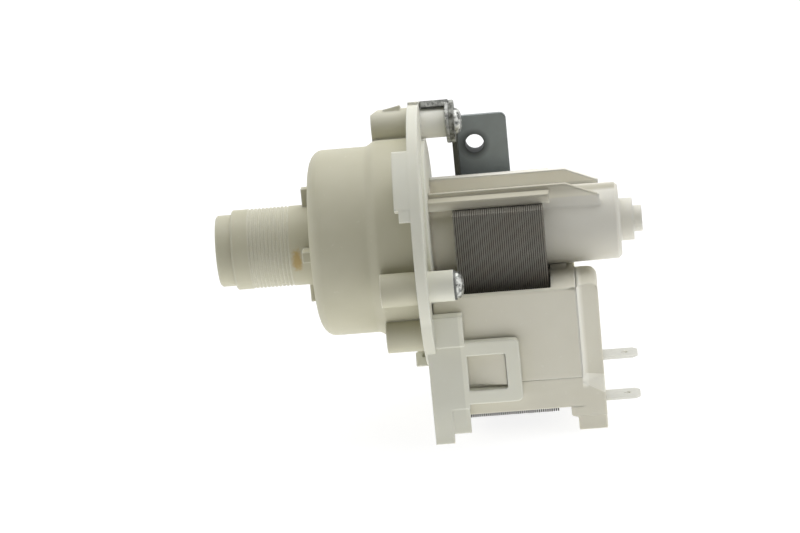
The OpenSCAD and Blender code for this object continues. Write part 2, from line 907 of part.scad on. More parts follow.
module far_bobbin() {
    color("#d8d2bf")
        mirror([0, 1, 0])
            bobbin();
}

module near_winding() {
    color("#9a5a2c")
        winding();
}

module far_winding() {
    color("#9a5a2c")
        mirror([0, 1, 0])
            winding();
}

module thermal_cutout() {
    half_w = leg_in - slip - bobbin_t - slip / 2 - winding_t - slip;
    cutout_len = 16;
    cutout_h = 6;
    mid_x = (x_core + x_core_end) / 2;
    mid_z = (bobbin_bottom + bobbin_top) / 2;
    color("#3a3a3c")
        block([mid_x - cutout_len / 2, mid_x + cutout_len / 2], [-half_w, half_w],
              [mid_z - cutout_h / 2, mid_z + cutout_h / 2]);
}

// Coil box
leg_gap = 0.5;
saddle_len = 5;
saddle_in = 3;
saddle_out = 6.2;

nose_w = 4;
tab_rise = 2.2;
x_tab = x_window + 2;
x_tab_end = x_loop_end - loop_bar - slip;
tab_top = loop_top - loop_bar - 2 * slip;
tab_bottom = slip - parting_drop;

module coil_housing() {
    color("#d4d1bf") {
        difference() {
            block([x_box, x_box_end], [-box_half, box_half], [-parting_drop, box_top]);
            block([x_box + box_wall, x_box_end - box_wall], [box_wall - box_half, box_half - box_wall],
                  [-parting_drop - eps, box_top - box_wall]);
            both_sides()
                block([x_core - leg_gap, x_core_end + leg_gap], [box_wall + slip - box_half, leg_gap - leg_in],
                      [-parting_drop, box_top + eps]);
        }
        difference() {
            both_sides()
                block([x_core_end + leg_gap, x_core_end + leg_gap + saddle_len], [-saddle_out, -saddle_in],
                      [box_top - eps, box_top + can_r / 2]);
            rod(x_core_end, x_box_end, can_r + run);
        }
        both_sides()
            block([x_plate + slip, x_box + eps], [-box_half, nose_w - box_half], [post_bottom, box_top]);
        both_sides()
            translate([0, 0, tab_bottom])
                linear_extrude(tab_top - tab_bottom)
                    polygon([[x_tab, -box_half], [x_tab_end, -box_half], [x_tab_end, -box_half - tab_rise]]);
    }
}

module coil_base() {
    rivet_room = rivet_head + 2 * slip;
    color("#d4d1bf")
        difference() {
            block([x_box, x_box_end], [-box_half, box_half], [-box_drop, -parting_drop]);
            block([x_box + box_wall, x_box_end - box_wall], [box_wall - box_half, box_half - box_wall],
                  [box_wall - box_drop, eps - parting_drop]);
            block([x_core - rivet_room, x_core_end + rivet_room], [-leg_out - leg_gap, leg_out + leg_gap],
                  [-box_drop - eps, -parting_drop]);
        }
}

// Terminal block
block_foot_inset = 0.5;
block_bottom = -(box_drop + 3.1);
block_lead = 4.2;
foot_lead = 2.2;
shelf_z = -parting_drop - 5.4;
shelf_rise = 3.7;
shelf_inner_rise = 5.9;
shelf_end_rise = 4.3;
step_w = 1;
tower_round = 3;
tower_in = tower_w - box_half;
blade_root = 6;
blade_y = blade_inset - box_half;
lower_blade_drop = box_drop + blade_below;
upper_blade_drop = lower_blade_drop - blade_pitch;

// Outline of the tower from the side, with its rear top corner rounded
module tower_side() {
    polygon(concat(
        [[x_box_end, shelf_z - eps], [x_block_end, shelf_z - eps]],
        [for (a = [0 : 15 : 90]) [x_block_end - tower_round * (1 - cos(a)), box_top - tower_round * (1 - sin(a))]],
        [[x_box_end, box_top]]));
}

// Tower behind the coil box, set back from the box's own corner and tapered to the rear
module tower() {
    intersection() {
        translate([0, 0, shelf_z - eps])
            linear_extrude(box_top - shelf_z + 2 * eps)
                polygon([[x_box_end, -box_half], [x_box_end + step_w, tower_step - box_half],
                         [x_block_end, tower_taper - box_half], [x_block_end, tower_in], [x_box_end, tower_in]]);
        translate([0, tower_in + eps, 0])
            rotate([90, 0, 0])
                linear_extrude(tower_w + 2 * eps)
                    tower_side();
    }
}

// Sloping shelf under the tower's set-back face
module corner_shelf() {
    near = -box_half;
    points = [[x_box_end, near, shelf_z], [x_block_end, near, shelf_z],
              [x_block_end, near + tower_taper, shelf_z], [x_box_end + step_w, near + tower_step, shelf_z],
              [x_box_end, near, shelf_z + shelf_rise],
              [x_box_end + step_w, near + tower_step, shelf_z + shelf_inner_rise],
              [x_block_end, near + tower_taper, shelf_z + shelf_end_rise]];
    polyhedron(points, [[0, 1, 2, 3], [0, 4, 1], [4, 5, 6], [4, 6, 1], [1, 6, 2], [2, 6, 5, 3], [3, 5, 4, 0]]);
}

module spade(drop, room) {
    tip = blade_w / 5;
    half = blade_w / 2 + room;
    x_tip = x_block_end + blade_len;
    translate([0, blade_y, -drop - blade_t / 2 - room])
        linear_extrude(blade_t + 2 * room)
            polygon([[x_block_end - blade_root - room, -half], [x_tip - tip, -half], [x_tip, tip - half],
                     [x_tip, half - tip], [x_tip - tip, half], [x_block_end - blade_root - room, half]]);
}

module terminal_block() {
    color("#d7d4c2")
        difference() {
            union() {
                block([x_box_end, x_block_end], [-box_half, box_half], [block_bottom, shelf_z]);
                block([x_box_end - block_lead, x_block_end], [-box_half, box_half], [block_bottom, -box_drop - bond]);
                block([x_box_end - foot_lead, x_block_end - eps],
                      [block_foot_inset - box_half, box_half - block_foot_inset], [floor_z, block_bottom + eps]);
                tower();
                corner_shelf();
            }
            spade(upper_blade_drop, bond);
            spade(lower_blade_drop, bond);
        }
}

module terminal(drop) {
    hole_setback = 4;
    color("#d9dad6")
        difference() {
            spade(drop, 0);
            translate([x_block_end + blade_len - hole_setback, blade_y, -drop - blade_t])
                cylinder(d = blade_hole_d, h = 2 * blade_t);
        }
}

module upper_terminal() {
    terminal(upper_blade_drop);
}

module lower_terminal() {
    terminal(lower_blade_drop);
}

// Clip and bracket under the top screw
x_clip_end = x_stand + clip_t;
x_bracket_end = x_clip_end + bracket_t;
tab_w = 7;
clip_lift = 0.05;
screw_y = -screw_r * sin(top_screw_turn);
screw_z = screw_r * cos(top_screw_turn);
arm_in = screw_y + 3.4;
upright_y = leg_out + upright_gap;
arm_bottom = core_rise + 1;
upright_bottom = arm_bottom - 3.5;
upright_round = 2;
upright_end = x_clip_end + upright_len;
fixing_x = x_clip_end + 6.7;
fixing_z = upright_top - 9.2;

module bracket_clip() {
    color("#6d7072")
        difference() {
            at_turn(top_screw_turn) {
                translate([0, 0, screw_r])
                    rod(x_stand, x_clip_end, pad_d / 2);
                block([x_plate + slip, x_clip_end], [-tab_w / 2, tab_w / 2],
                      [screw_r + standoff_d / 2 + clip_lift, screw_r + pad_d / 2]);
            }
            at_turn(top_screw_turn, screw_r)
                rod(x_stand - eps, x_clip_end + eps, screw_d / 2 + slip);
        }
}

module mounting_bracket() {
    color("#5b6061")
        difference() {
            union() {
                translate([0, screw_y, screw_z])
                    rod(x_clip_end, x_bracket_end, pad_d / 2);
                block([x_clip_end, x_bracket_end], [arm_in, upright_y + bracket_t], [arm_bottom, upright_top]);
                translate([0, upright_y + bracket_t, 0])
                    rotate([90, 0, 0])
                        linear_extrude(bracket_t)
                            polygon(concat(
                                [[x_clip_end, upright_bottom], [upright_end, upright_bottom]],
                                [for (a = [0 : 15 : 90]) [upright_end - upright_round * (1 - cos(a)),
                                                          upright_top - upright_round * (1 - sin(a))]],
                                [[x_clip_end, upright_top]]));
                translate([fixing_x, upright_y + bracket_t - eps, fixing_z])
                    rotate([-90, 0, 0])
                        cylinder(r = fixing_d / 2 + fixing_wall, h = fixing_collar + eps);
            }
            translate([0, screw_y, screw_z])
                rod(x_clip_end - eps, x_bracket_end + eps, screw_d / 2 + slip);
            translate([fixing_x, upright_y - eps, fixing_z])
                rotate([-90, 0, 0])
                    cylinder(d = fixing_d, h = bracket_t + fixing_collar + 2 * eps);
        }
}

module screw_washers() {
    color("#c9cccb")
        for (turn = [side_screw_turn, -side_screw_turn])
            at_turn(turn, screw_r)
                tube(x_stand, x_stand + washer_t, washer_d / 2, screw_d / 2 + slip);
}

// Pan-head screw whose head rests at station x
module pan_screw(x) {
    slot_w = 1.1;
    slot_len = head_d * 0.55;
    dome = head_h * 0.45;
    difference() {
        union() {
            rod(x_joint - screw_bite, x + eps, screw_d / 2);
            along_x(x)
                rotate_extrude()
                    polygon([[0, 0], [head_d / 2, 0], [head_d / 2, head_h - dome],
                             [head_d / 2 - dome * 0.35, head_h - dome * 0.35], [head_d / 2 - dome, head_h], [0, head_h]]);
        }
        block([x + head_h / 2, x + head_h + eps], [-slot_w / 2, slot_w / 2], [-slot_len / 2, slot_len / 2]);
        block([x + head_h / 2, x + head_h + eps], [-slot_len / 2, slot_len / 2], [-slot_w / 2, slot_w / 2]);
    }
}

module case_screws() {
    color("#d3d6d4") {
        at_turn(top_screw_turn, screw_r)
            pan_screw(x_bracket_end);
        for (turn = [side_screw_turn, -side_screw_turn])
            at_turn(turn, screw_r)
                pan_screw(x_stand + washer_t);
    }
}

volute_housing();
chamber_seal();
motor_frame();
rotor_can();
bearing_carrier();
shaft_seal();
front_bush();
rear_bush();
rear_cushion();
rotor_shaft();
rotor_magnet();
rotor_hub();
front_washer();
rear_washer();
drive_dog();
impeller_cap();
impeller();
stator_core();
stack_rivets();
near_bobbin();
far_bobbin();
near_winding();
far_winding();
thermal_cutout();
coil_housing();
coil_base();
terminal_block();
upper_terminal();
lower_terminal();
bracket_clip();
mounting_bracket();
screw_washers();
case_screws();
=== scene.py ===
import math

import bmesh
import bpy
from mathutils import Matrix, Vector


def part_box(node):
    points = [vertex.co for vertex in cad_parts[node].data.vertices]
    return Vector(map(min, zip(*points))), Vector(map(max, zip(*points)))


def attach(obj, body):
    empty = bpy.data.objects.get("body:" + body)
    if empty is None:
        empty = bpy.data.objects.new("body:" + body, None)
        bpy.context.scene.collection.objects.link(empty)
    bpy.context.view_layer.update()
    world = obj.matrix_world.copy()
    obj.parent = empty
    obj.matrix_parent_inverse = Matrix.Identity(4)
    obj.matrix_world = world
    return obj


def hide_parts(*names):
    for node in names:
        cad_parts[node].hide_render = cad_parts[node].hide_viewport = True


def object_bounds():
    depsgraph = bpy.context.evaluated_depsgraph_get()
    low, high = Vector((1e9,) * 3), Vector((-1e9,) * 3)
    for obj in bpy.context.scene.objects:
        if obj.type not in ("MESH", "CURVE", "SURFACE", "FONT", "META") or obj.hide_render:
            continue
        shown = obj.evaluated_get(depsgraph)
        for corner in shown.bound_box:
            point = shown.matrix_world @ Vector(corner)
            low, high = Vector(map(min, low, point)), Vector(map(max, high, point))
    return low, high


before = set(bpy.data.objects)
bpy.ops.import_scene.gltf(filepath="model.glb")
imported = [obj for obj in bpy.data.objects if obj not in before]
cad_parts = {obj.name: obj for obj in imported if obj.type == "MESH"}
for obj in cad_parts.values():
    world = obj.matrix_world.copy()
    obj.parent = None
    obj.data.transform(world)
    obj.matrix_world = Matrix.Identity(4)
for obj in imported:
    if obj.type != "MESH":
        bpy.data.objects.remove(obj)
solid_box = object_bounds()


# Volute housing
# The pump's front half is one moulding in warm beige polypropylene: a ridged hose spigot, a round
# chamber and the outlet. Its edges are softened by the tool and its skin is finely spark-eroded.

class Flow:
    """One value in a material's nodes, so that shader maths reads as plain expressions."""

    def __init__(self, finish, link):
        self.finish = finish
        self.link = link

    def maths(self, operation, first, second):
        return self.finish.node("ShaderNodeMath", {"operation": operation}, {0: first, 1: second})

    def __add__(self, other):
        return self.maths("ADD", self, other)

    def __radd__(self, other):
        return self.maths("ADD", other, self)

    def __sub__(self, other):
        return self.maths("SUBTRACT", self, other)

    def __rsub__(self, other):
        return self.maths("SUBTRACT", other, self)

    def __mul__(self, other):
        return self.maths("MULTIPLY", self, other)

    def __rmul__(self, other):
        return self.maths("MULTIPLY", other, self)

    def __truediv__(self, other):
        return self.maths("DIVIDE", self, other)

    def __rtruediv__(self, other):
        return self.maths("DIVIDE", other, self)


class Finish:
    """A material whose nodes are added one by one, all on Object coordinates."""

    def __init__(self, name):
        self.material = bpy.data.materials.new(name)
        self.material.use_nodes = True
        self.tree = self.material.node_tree
        self.shader = self.tree.nodes["Principled BSDF"]
        self.place = self.node("ShaderNodeTexCoord", {}, {}, "Object")

    def node(self, kind, settings, inputs, output=0):
        node = self.tree.nodes.new(kind)
        for name, value in settings.items():
            if name == "stops":
                while len(node.color_ramp.elements) < len(value):
                    node.color_ramp.elements.new(1.0)
                for element, (position, shade) in zip(node.color_ramp.elements, value):
                    element.position = position
                    element.color = (shade, shade, shade, 1.0)
            else:
                setattr(node, name, value)
        for name, value in inputs.items():
            if isinstance(value, Flow):
                self.tree.links.new(value.link, node.inputs[name])
            else:
                node.inputs[name].default_value = value
        return Flow(self, node.outputs[output])

    def noise(self, size, detail=2.0, place=None):
        """Noise whose lumps are about size metres across."""
        return self.node("ShaderNodeTexNoise", {}, {"Vector": place or self.place, "Scale": 1.0 / size,
                                                    "Detail": detail, "Roughness": 0.55})

    def axis(self, name, vector=None):
        """X, Y or Z of a place on the piece, or of another vector."""
        return self.node("ShaderNodeSeparateXYZ", {}, {"Vector": vector or self.place}, name)

    def between(self, value, start, end):
        """A value turned to 0 at start and 1 at end, and held there beyond them."""
        return self.node("ShaderNodeMapRange", {}, {"Value": value, "From Min": start, "From Max": end})

    def ramp(self, value, *stops):
        return self.node("ShaderNodeValToRGB", {"stops": stops}, {"Fac": value})

    def blend(self, amount, first, second):
        """One colour turning into another."""
        return self.node("ShaderNodeMix", {"data_type": "RGBA"}, {0: amount, 6: first, 7: second}, 2)

    def relief(self, height, depth, strength=1.0, under=None):
        """A bump of that depth in metres, on top of another one."""
        inputs = {"Height": height, "Distance": depth, "Strength": strength}
        if under:
            inputs["Normal"] = under
        return self.node("ShaderNodeBump", {}, inputs)

    def set(self, **values):
        for name, value in values.items():
            socket = self.shader.inputs[name.replace("_", " ")]
            if isinstance(value, Flow):
                self.tree.links.new(value.link, socket)
            else:
                socket.default_value = value


def tint(red, green, blue):
    """A colour as it reads on a screen, from 0 to 255, in the shader's own scale."""
    return tuple(((v / 255 + 0.055) / 1.055) ** 2.4 for v in (red, green, blue)) + (1.0,)


def dressed(finish, *nodes):
    """CAD nodes that keep their shape and take a finish."""
    for node in nodes:
        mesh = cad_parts[node].data
        mesh.materials.clear()
        mesh.materials.append(finish.material)


def moulded(name, colour, deep, gloss=0.5, edge=0.0008):
    """Injection-moulded plastic: faint flow clouds, a fine skin, pale scuffs and soft edges, painted paler
    as wear and as a painted highlight.
    """
    finish = Finish(name)
    clouds = finish.ramp(finish.noise(0.018, 3.0), (0.3, 0.0), (0.75, 1.0))
    scuffs = finish.ramp(finish.noise(0.0016, 4.0), (0.66, 0.0), (0.74, 1.0))
    skin = finish.noise(0.00035, 2.0)
    soft = finish.node("ShaderNodeBevel", {"samples": 8}, {"Radius": edge})
    flat = finish.node("ShaderNodeNewGeometry", {}, {}, "Normal")
    level = finish.node("ShaderNodeVectorMath", {"operation": "DOT_PRODUCT"}, {0: soft, 1: flat}, "Value")
    # The edge mask paints edges paler: partly rubbed wear, partly a painted highlight where edges catch the
    # light.
    edges = finish.ramp(1.0 - level, (0.02, 0.0), (0.15, 1.0))
    finish.colour = finish.blend(clouds * 0.55, colour, deep)
    finish.colour = finish.blend(scuffs * 0.1 + edges * 0.5, finish.colour, tint(250, 249, 240))
    finish.set(Base_Color=finish.colour, Roughness=gloss + 0.1 * skin + 0.08 * scuffs,
               Normal=finish.relief(skin, 0.00003, 0.35, soft), Specular_IOR_Level=0.3,
               Subsurface_Weight=0.2, Subsurface_Radius=(1.0, 0.95, 0.8), Subsurface_Scale=0.0015)
    return finish


def distance(finish, centre, reach):
    """How far a place is from a centre, where reach along each axis counts as 1."""
    near = finish.node("ShaderNodeMapping", {"vector_type": "TEXTURE"},
                       {"Vector": finish.place, "Location": centre, "Scale": reach})
    return finish.node("ShaderNodeVectorMath", {"operation": "LENGTH"}, {0: near}, "Value")


def patch(finish, centre, reach, ragged=0.0):
    """A soft-edged spot round a place on the piece, broken up by noise if it is ragged."""
    away = distance(finish, centre, reach)
    return finish.ramp(away + ragged * (finish.noise(0.0012, 3.0) - 0.5), (0.4, 1.0), (0.9, 0.0))


spigot_root, stain_reach = (0.0248, -0.0122, -0.0012), (0.0021, 0.006, 0.0052)
upper_boss, boss_reach = (0.055, 0.0118, 0.0325), (0.014, 0.011, 0.011)
beige = moulded("volute_beige", tint(194, 191, 170), tint(181, 178, 154))
stain = patch(beige, spigot_root, stain_reach, 0.9)
# Painted fill light: the upper boss is painted paler, where it sits in shade.
painted_fill_light = patch(beige, upper_boss, boss_reach)
beige.colour = beige.blend(painted_fill_light * 0.55, beige.colour, tint(232, 230, 216))
beige.set(Base_Color=beige.blend(stain * 0.8, beige.colour, tint(176, 148, 84)))
dressed(beige, "volute_housing")


# Chamber seal and bearing parts
# A black rubber ring seals the chamber. Behind it a plastic plug carries the shaft seal and an
# oil-filled bronze bush, and a second bush sits in a rubber ring at the can's end.

rubber = Finish("black_rubber")
bloom = rubber.noise(0.002, 3.0)
rubber.set(Base_Color=rubber.blend(bloom, tint(26, 26, 27), tint(48, 48, 48)),
           Roughness=0.62 + 0.2 * bloom, Normal=rubber.relief(rubber.noise(0.0004), 0.00003, 0.4))
dressed(rubber, "chamber_seal", "shaft_seal", "rear_cushion")

bronze = Finish("sintered_bronze")
pores = bronze.ramp(bronze.noise(0.00025, 1.0), (0.34, 0.0), (0.46, 1.0))
bronze.set(Base_Color=bronze.blend(pores, tint(70, 52, 30), tint(176, 136, 78)), Metallic=0.9,
           Roughness=0.55 - 0.15 * pores, Normal=bronze.relief(pores, 0.00004, 0.5))
dressed(bronze, "front_bush", "rear_bush")


# Motor frame
# The whiter second moulding: back plate with collar, screw standoffs, hook claws, side walls with
# feet and the snap loops that hold the coil box. The volute is screwed to its front.

top_standoff, standoff_reach = (0.067, 0.0117, 0.0322), (0.012, 0.009, 0.009)
leg_rear = (0.0728, 0.0724)
leg_side = (-0.024, -0.0248)
leg_top = (-0.016, -0.018)
leg_foot = (-0.053, -0.045)
ivory = moulded("frame_ivory", tint(221, 221, 208), tint(213, 211, 195))
# Painted fill light: the top standoff is painted paler, where the clip and plate shade it.
painted_fill_light = patch(ivory, top_standoff, standoff_reach)
ivory.colour = ivory.blend(painted_fill_light * 0.7, ivory.colour, tint(252, 251, 246))
# Painted shade: the leg above its foot is painted darker, where it is shaded.
along, across, above = (ivory.axis(name) for name in "XYZ")
on_leg = ivory.between(along, *leg_rear) * ivory.between(across, *leg_side)
painted_leg_shade = on_leg * ivory.between(above, *leg_top) * ivory.between(above, *leg_foot)
ivory.set(Base_Color=ivory.blend(painted_leg_shade * 0.2, ivory.colour, tint(150, 150, 138)))
dressed(ivory, "motor_frame")


# Rotor can
# A closed can in greyish plastic with a stepped bearing boss at its end. Two ribs with ledges run
# along its top and lie on the core. The plug that carries the front bearing is the same plastic.

rib_foot = (0.0110, 0.0114)
rib_rim = (0.0135, 0.0118)
can_middle = (-0.001, 0.004)
can_mouth = (0.0736, 0.0728)
can_grey = moulded("can_grey", tint(223, 221, 211), tint(214, 211, 199), edge=0.0014)
along, across, above = (can_grey.axis(name) for name in "XYZ")
facing = can_grey.node("ShaderNodeNewGeometry", {}, {}, "Normal")
# Painted light and shade on the ribs: the near rib's lower face band is a painted highlight, upward faces
# get painted shade, and the far rib is painted paler where the near rib shades it.
painted_top_shade = can_grey.ramp(can_grey.axis("Z", facing), (0.6, 0.0), (0.9, 1.0))
near_rib_painted_light = can_grey.blend(can_grey.between(above, *rib_rim), tint(204, 200, 184), tint(228, 225, 210))
near_rib_painted_light = can_grey.blend(painted_top_shade, near_rib_painted_light, tint(184, 180, 163))
ribs_painted_light = can_grey.blend(can_grey.between(across, *can_middle), near_rib_painted_light, tint(240, 237, 226))
# Painted fill light: the can in front of the core is painted paler and warmer, where the plate and core
# shade it.
tone = can_grey.blend(can_grey.between(along, *can_mouth), can_grey.colour, tint(242, 238, 222))
can_grey.set(Base_Color=can_grey.blend(can_grey.between(above, *rib_foot), tone, ribs_painted_light))
dressed(can_grey, "rotor_can", "bearing_carrier")


# Rotor
# A two-pole ferrite cylinder on a white plastic hub, turning on a ground steel shaft inside the can.
# A bronze thrust washer at each end of the magnet keeps it in place.

ground = Finish("ground_steel")
lines = ground.node("ShaderNodeMapping", {}, {"Vector": ground.place, "Scale": (1.0, 0.02, 0.02)})
marks = ground.noise(0.0001, 2.0, lines)
ground.set(Base_Color=ground.blend(marks, tint(150, 152, 155), tint(205, 206, 208)), Metallic=1.0,
           Roughness=0.22 + 0.16 * marks)
dressed(ground, "rotor_shaft")

ferrite = Finish("ground_ferrite")
grit = ferrite.noise(0.0003, 3.0)
ferrite.set(Base_Color=ferrite.blend(grit, tint(46, 45, 45), tint(78, 76, 74)),
            Roughness=0.5 + 0.2 * grit, Normal=ferrite.relief(grit, 0.00002, 0.4))
dressed(ferrite, "rotor_magnet")

white = moulded("impeller_white", tint(232, 230, 220), tint(222, 219, 205), 0.42)
dressed(white, "rotor_hub")
dressed(bronze, "front_washer", "rear_washer")


# Impeller and its drive
# Six white vanes on a hub that is loose on the shaft. A dark lug on the rotor picks the hub up after
# most of a turn, and a pressed cap keeps it on the shaft.

dressed(white, "impeller", "impeller_cap")
charcoal = moulded("drive_charcoal", tint(74, 77, 82), tint(60, 62, 66))
dressed(charcoal, "drive_dog")


# Stator core
# Forty-two U-shaped sheets of electrical steel, punched and stacked, with their cut edges showing and
# rivets through them. The legs go down through the coils, and the can lies between their upper ends.

low, high = (Vector(corner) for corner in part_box("stator_core"))
sheet_count = 42
sheet_pitch = (high.x - low.x) / sheet_count
sheet_gap = 0.0002
sheet_chamfer = 0.0003
sheet_wobble = 0.00005
gap_round = 0.01235
arc_steps = 14
slot_half = 0.0094
leg_inner = 0.008
yoke_top = -0.042
low_shade_span = (-0.003, -0.0125)


def sheet_edge():
    """Outline of one sheet across the shaft, as Y and Z."""
    start = math.asin(slot_half / gap_round)
    end = math.pi - math.asin(leg_inner / gap_round)
    turns = [start + (end - start) * i / arc_steps for i in range(arc_steps + 1)]
    arc = [(gap_round * math.sin(turn), gap_round * math.cos(turn)) for turn in turns]
    right = [(slot_half, high.z)] + arc + [(leg_inner, yoke_top)]
    left = [(-y, z) for y, z in reversed(right)]
    corner = [(high.y, low.z), (high.y, high.z - sheet_chamfer), (high.y - sheet_chamfer, high.z)]
    return corner + right + left + [(-y, z) for y, z in reversed(corner)]


def sheet_blank():
    """One sheet at the origin's plane, a little thinner than its pitch."""
    shape = bmesh.new()
    face = shape.faces.new([shape.verts.new((0.0, y, z)) for y, z in sheet_edge()])
    walls = bmesh.ops.extrude_face_region(shape, geom=[face])
    bmesh.ops.translate(shape, vec=(sheet_pitch - sheet_gap, 0.0, 0.0),
                        verts=[v for v in walls["geom"] if isinstance(v, bmesh.types.BMVert)])
    bmesh.ops.recalc_face_normals(shape, faces=shape.faces)
    mesh = bpy.data.meshes.new("sheet_blank")
    shape.to_mesh(mesh)
    shape.free()
    return linked("sheet_blank", mesh)


def linked(name, mesh):
    """An object of that mesh, in the scene."""
    piece = bpy.data.objects.new(name, mesh)
    bpy.context.scene.collection.objects.link(piece)
    return piece


def settled(piece):
    """The same piece with its modifiers turned into plain mesh."""
    bpy.context.view_layer.update()
    shape = bpy.data.meshes.new_from_object(piece.evaluated_get(bpy.context.evaluated_depsgraph_get()))
    piece.modifiers.clear()
    piece.data = shape
    return piece


def stands_for(piece, finish, slot, body, *nodes):
    """The piece takes the place of CAD nodes on their body."""
    piece.data.materials.clear()
    piece.data.materials.append(finish.material)
    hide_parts(*nodes)
    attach(piece, body)


class Nodes:
    """A Geometry Nodes tree with named inputs, ended by one realized mesh with its material."""

    def __init__(self, name, **inputs):
        self.tree = bpy.data.node_groups.new(name, "GeometryNodeTree")
        self.tree.interface.new_socket("Geometry", in_out="INPUT", socket_type="NodeSocketGeometry")
        self.tree.interface.new_socket("Geometry", in_out="OUTPUT", socket_type="NodeSocketGeometry")
        self.values = {}
        for title, (kind, value) in inputs.items():
            socket = self.tree.interface.new_socket(title, in_out="INPUT", socket_type="NodeSocket" + kind)
            self.values[socket.identifier] = value
        self.given = self.tree.nodes.new("NodeGroupInput")

    def node(self, kind, settings, inputs, output=0):
        node = self.tree.nodes.new(kind)
        for name, value in settings.items():
            setattr(node, name, value)
        for name, value in inputs.items():
            if isinstance(value, bpy.types.NodeSocket):
                self.tree.links.new(value, node.inputs[name])
            else:
                node.inputs[name].default_value = value
        return node.outputs[output]

    def input(self, title):
        return self.given.outputs[title]

    def made(self, name, geometry, base=None):
        """The tree's result as a plain mesh object of that name."""
        real = self.node("GeometryNodeRealizeInstances", {}, {"Geometry": geometry})
        painted = self.node("GeometryNodeSetMaterial", {},
                            {"Geometry": real, "Material": self.input("Finish")})
        end = self.tree.nodes.new("NodeGroupOutput")
        self.tree.links.new(painted, end.inputs["Geometry"])
        piece = linked(name, base or bpy.data.meshes.new(name))
        step = piece.modifiers.new("nodes", "NODES")
        step.node_group = self.tree
        for identifier, value in self.values.items():
            step[identifier] = value
        return settled(piece)


core_steel = Finish("core_steel")
along, rise = (core_steel.axis(name) for name in "XZ")
turn = core_steel.node("ShaderNodeMath", {"operation": "FRACT"}, {0: (along - low.x) / sheet_pitch})
rust = core_steel.ramp(core_steel.noise(0.006, 4.0), (0.45, 0.0), (0.8, 1.0))
drag = core_steel.node("ShaderNodeMapping", {}, {"Vector": core_steel.place, "Scale": (1.0, 0.08, 0.08)})
burr = core_steel.noise(0.0003, 2.0, drag)
edge_grey = core_steel.blend(burr, tint(90, 88, 81), tint(132, 129, 120))
# Painted shade: the sheets' edges are painted darker towards the bottom, where the coil box shades them.
painted_low_shade = core_steel.between(rise, *low_shade_span)
edge_grey = core_steel.blend(painted_low_shade * 0.6, edge_grey, tint(40, 38, 34))
core_steel.set(Base_Color=core_steel.blend(rust * 0.25, edge_grey, tint(104, 88, 68)), Metallic=0.55,
               Roughness=0.42 + 0.2 * burr + 0.05 * turn, Normal=core_steel.relief(burr, 0.00004, 0.5))

blank = sheet_blank()
stack = Nodes("sheet_stack", Sheet=("Object", blank), Count=("Int", sheet_count),
              Pitch=("Float", sheet_pitch), Wobble=("Float", sheet_wobble), Seed=("Int", 7),
              Finish=("Material", core_steel.material))
step = stack.node("ShaderNodeCombineXYZ", {}, {"X": stack.input("Pitch")})
row = stack.node("GeometryNodeMeshLine", {}, {"Count": stack.input("Count"), "Offset": step,
                                              "Start Location": (low.x + sheet_gap / 2, 0.0, 0.0)})
sheet = stack.node("GeometryNodeObjectInfo", {}, {"Object": stack.input("Sheet")}, "Geometry")
sheets = stack.node("GeometryNodeInstanceOnPoints", {}, {"Points": row, "Instance": sheet})
spread = stack.node("ShaderNodeCombineXYZ", {}, {"Y": stack.input("Wobble"), "Z": stack.input("Wobble")})
inward = stack.node("ShaderNodeVectorMath", {"operation": "SCALE"}, {0: spread, "Scale": -1.0})
shift = stack.node("FunctionNodeRandomValue", {"data_type": "FLOAT_VECTOR"},
                   {"Min": inward, "Max": spread, "Seed": stack.input("Seed")})
loose = stack.node("GeometryNodeTranslateInstances", {}, {"Instances": sheets, "Translation": shift})
core = stack.made("core_sheets", loose)
bpy.data.objects.remove(blank)
stands_for(core, core_steel, "core_steel", "pump", "stator_core")
dressed(ground, "stack_rivets")


# Coils
# Two moulded bobbins on the core's legs, each wound with lacquered copper wire, and the dark overheat
# switch between them. The coil box hides them.

wire_half = 0.00012
wire_steepness = 8000.0
copper = Finish("copper_wire")
lay = copper.node("ShaderNodeMath", {"operation": "PINGPONG"}, {0: copper.axis("Z"), 1: wire_half})
lay = lay * wire_steepness
copper.set(Base_Color=copper.blend(lay, tint(96, 50, 24), tint(190, 108, 58)), Metallic=0.8,
           Roughness=0.34, Coat_Weight=0.4, Normal=copper.relief(lay, wire_half, 0.8))
dressed(copper, "near_winding", "far_winding")

cream = moulded("coil_cream", tint(218, 215, 200), tint(209, 205, 188))
dressed(cream, "near_bobbin", "far_bobbin")
dressed(charcoal, "thermal_cutout")


# Coil box
# Two light grey-cream shells that meet in a parting line, with a snap tab at either side, and the
# block with the tower for the terminals and the rear foot. Their edges are well rounded.

joint_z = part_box("coil_housing")[0][2] + 0.0002
base_low, base_high = (Vector(corner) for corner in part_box("coil_base"))
side_y = base_high.y - 0.0002
seam_x = base_high.x - 0.0002
foot_x = base_high.x - 0.0015
edge_round = 0.001
edge_slack = 0.0004
sharp_edge = math.radians(32)
sharp_shade = math.radians(40)


def bevelled(node, radius, weigh, steps=3):
    """A merged copy of a node's shape whose edges are rounded by that radius times their weight."""
    shape = bmesh.new()
    shape.from_mesh(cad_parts[node].data)
    bmesh.ops.remove_doubles(shape, verts=shape.verts, dist=1e-6)
    weight = shape.edges.layers.float.new("bevel_weight_edge")
    for edge in shape.edges:
        if edge.calc_face_angle(0.0) > sharp_edge:
            edge[weight] = float(weigh((edge.verts[0].co + edge.verts[1].co) / 2))
    plain = bpy.data.meshes.new(node + "_body")
    shape.to_mesh(plain)
    shape.free()
    piece = linked(node + "_body", plain)
    edges = piece.modifiers.new("rounded edges", "BEVEL")
    edges.limit_method = "WEIGHT"
    edges.width = radius
    edges.segments = steps
    edges.use_clamp_overlap = False
    return settled(piece)


